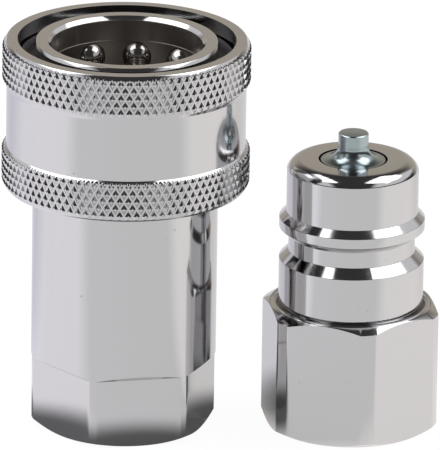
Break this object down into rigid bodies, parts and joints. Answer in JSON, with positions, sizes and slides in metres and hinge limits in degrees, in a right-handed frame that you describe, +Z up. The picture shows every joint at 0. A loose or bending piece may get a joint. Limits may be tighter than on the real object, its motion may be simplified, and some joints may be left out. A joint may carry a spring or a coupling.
{
  "type": "quick coupling",
  "caption": "Pair of ball-lock quick coupling halves, a socket with a knurled sleeve and a plug, each with a spring-loaded poppet valve and a female port.",
  "frame": {"origin": "on the floor, in the middle of the pair's footprint", "axes": "+Z up along both halves' axes, towards their mating ends; +X from the socket half to the plug half; -Y towards the viewer"},
  "size_m": [0.0672, 0.038, 0.0616],
  "materials": {
    "plated_steel": "bright plated",
    "knurled_steel": "bright plated knurl",
    "bearing_steel": "polished",
    "zinc_plated_steel": "zinc plated, turned",
    "spring_steel": "drawn wire",
    "snap_ring_steel": "phosphated",
    "guide_brass": "turned",
    "seal_rubber": "matte",
    "backup_plastic": "matte"
  },
  "bodies": {
    "bodies": {"socket_body": "plated_steel", "sleeve_spring": "spring_steel", "sleeve_stop_ring": "snap_ring_steel", "spring_seat_ring": "snap_ring_steel", "socket_seal": "seal_rubber", "socket_backup_ring": "backup_plastic", "socket_valve_spring": "spring_steel", "socket_valve_guide": "guide_brass", "socket_circlip": "snap_ring_steel", "plug_body": "plated_steel", "plug_valve_spring": "spring_steel", "plug_valve_guide": "guide_brass", "plug_circlip": "snap_ring_steel"},
    "sleeve": {"locking_sleeve": "knurled_steel"},
    "ball_1": {"locking_ball_1": "bearing_steel"},
    "ball_2": {"locking_ball_2": "bearing_steel"},
    "ball_3": {"locking_ball_3": "bearing_steel"},
    "ball_4": {"locking_ball_4": "bearing_steel"},
    "ball_5": {"locking_ball_5": "bearing_steel"},
    "ball_6": {"locking_ball_6": "bearing_steel"},
    "ball_7": {"locking_ball_7": "bearing_steel"},
    "ball_8": {"locking_ball_8": "bearing_steel"},
    "ball_9": {"locking_ball_9": "bearing_steel"},
    "ball_10": {"locking_ball_10": "bearing_steel"},
    "socket_valve": {"socket_poppet": "zinc_plated_steel", "socket_poppet_seal": "seal_rubber"},
    "plug_valve": {"plug_poppet": "zinc_plated_steel", "plug_poppet_seal": "seal_rubber"}
  },
  "joints": [
    {"name": "sleeve_slide", "type": "slide", "parent": "bodies", "child": "sleeve", "axis": [0, 0, -1], "range_m": [0, 0.0055], "stiffness_N_per_m": 350, "springref_m": -0.025, "deforming": ["sleeve_spring"]},
    {"name": "ball_1_slide", "type": "slide", "parent": "bodies", "child": "ball_1", "axis": [0.1305, 0.9914, 0], "range_m": [0, 0.00148]},
    {"name": "ball_2_slide", "type": "slide", "parent": "bodies", "child": "ball_2", "axis": [-0.4772, 0.8788, 0], "range_m": [0, 0.00148]},
    {"name": "ball_3_slide", "type": "slide", "parent": "bodies", "child": "ball_3", "axis": [-0.9026, 0.4305, 0], "range_m": [0, 0.00148]},
    {"name": "ball_4_slide", "type": "slide", "parent": "bodies", "child": "ball_4", "axis": [-0.9833, -0.1822, 0], "range_m": [0, 0.00148]},
    {"name": "ball_5_slide", "type": "slide", "parent": "bodies", "child": "ball_5", "axis": [-0.6884, -0.7254, 0], "range_m": [0, 0.00148]},
    {"name": "ball_6_slide", "type": "slide", "parent": "bodies", "child": "ball_6", "axis": [-0.1305, -0.9914, 0], "range_m": [0, 0.00148]},
    {"name": "ball_7_slide", "type": "slide", "parent": "bodies", "child": "ball_7", "axis": [0.4772, -0.8788, 0], "range_m": [0, 0.00148]},
    {"name": "ball_8_slide", "type": "slide", "parent": "bodies", "child": "ball_8", "axis": [0.9026, -0.4305, 0], "range_m": [0, 0.00148]},
    {"name": "ball_9_slide", "type": "slide", "parent": "bodies", "child": "ball_9", "axis": [0.9833, 0.1822, 0], "range_m": [0, 0.00148]},
    {"name": "ball_10_slide", "type": "slide", "parent": "bodies", "child": "ball_10", "axis": [0.6884, 0.7254, 0], "range_m": [0, 0.00148]},
    {"name": "socket_valve_slide", "type": "slide", "parent": "bodies", "child": "socket_valve", "axis": [0, 0, -1], "range_m": [0, 0.0043], "stiffness_N_per_m": 2800, "springref_m": -0.005, "deforming": ["socket_valve_spring"]},
    {"name": "plug_valve_slide", "type": "slide", "parent": "bodies", "child": "plug_valve", "axis": [0, 0, -1], "range_m": [0, 0.0043], "stiffness_N_per_m": 2800, "springref_m": -0.005, "deforming": ["plug_valve_spring"]}
  ],
  "couplings": [
    {"joint": "ball_1_slide", "follows": "sleeve_slide", "ratio": 0.269},
    {"joint": "ball_2_slide", "follows": "sleeve_slide", "ratio": 0.269},
    {"joint": "ball_3_slide", "follows": "sleeve_slide", "ratio": 0.269},
    {"joint": "ball_4_slide", "follows": "sleeve_slide", "ratio": 0.269},
    {"joint": "ball_5_slide", "follows": "sleeve_slide", "ratio": 0.269},
    {"joint": "ball_6_slide", "follows": "sleeve_slide", "ratio": 0.269},
    {"joint": "ball_7_slide", "follows": "sleeve_slide", "ratio": 0.269},
    {"joint": "ball_8_slide", "follows": "sleeve_slide", "ratio": 0.269},
    {"joint": "ball_9_slide", "follows": "sleeve_slide", "ratio": 0.269},
    {"joint": "ball_10_slide", "follows": "sleeve_slide", "ratio": 0.269}
  ]
}
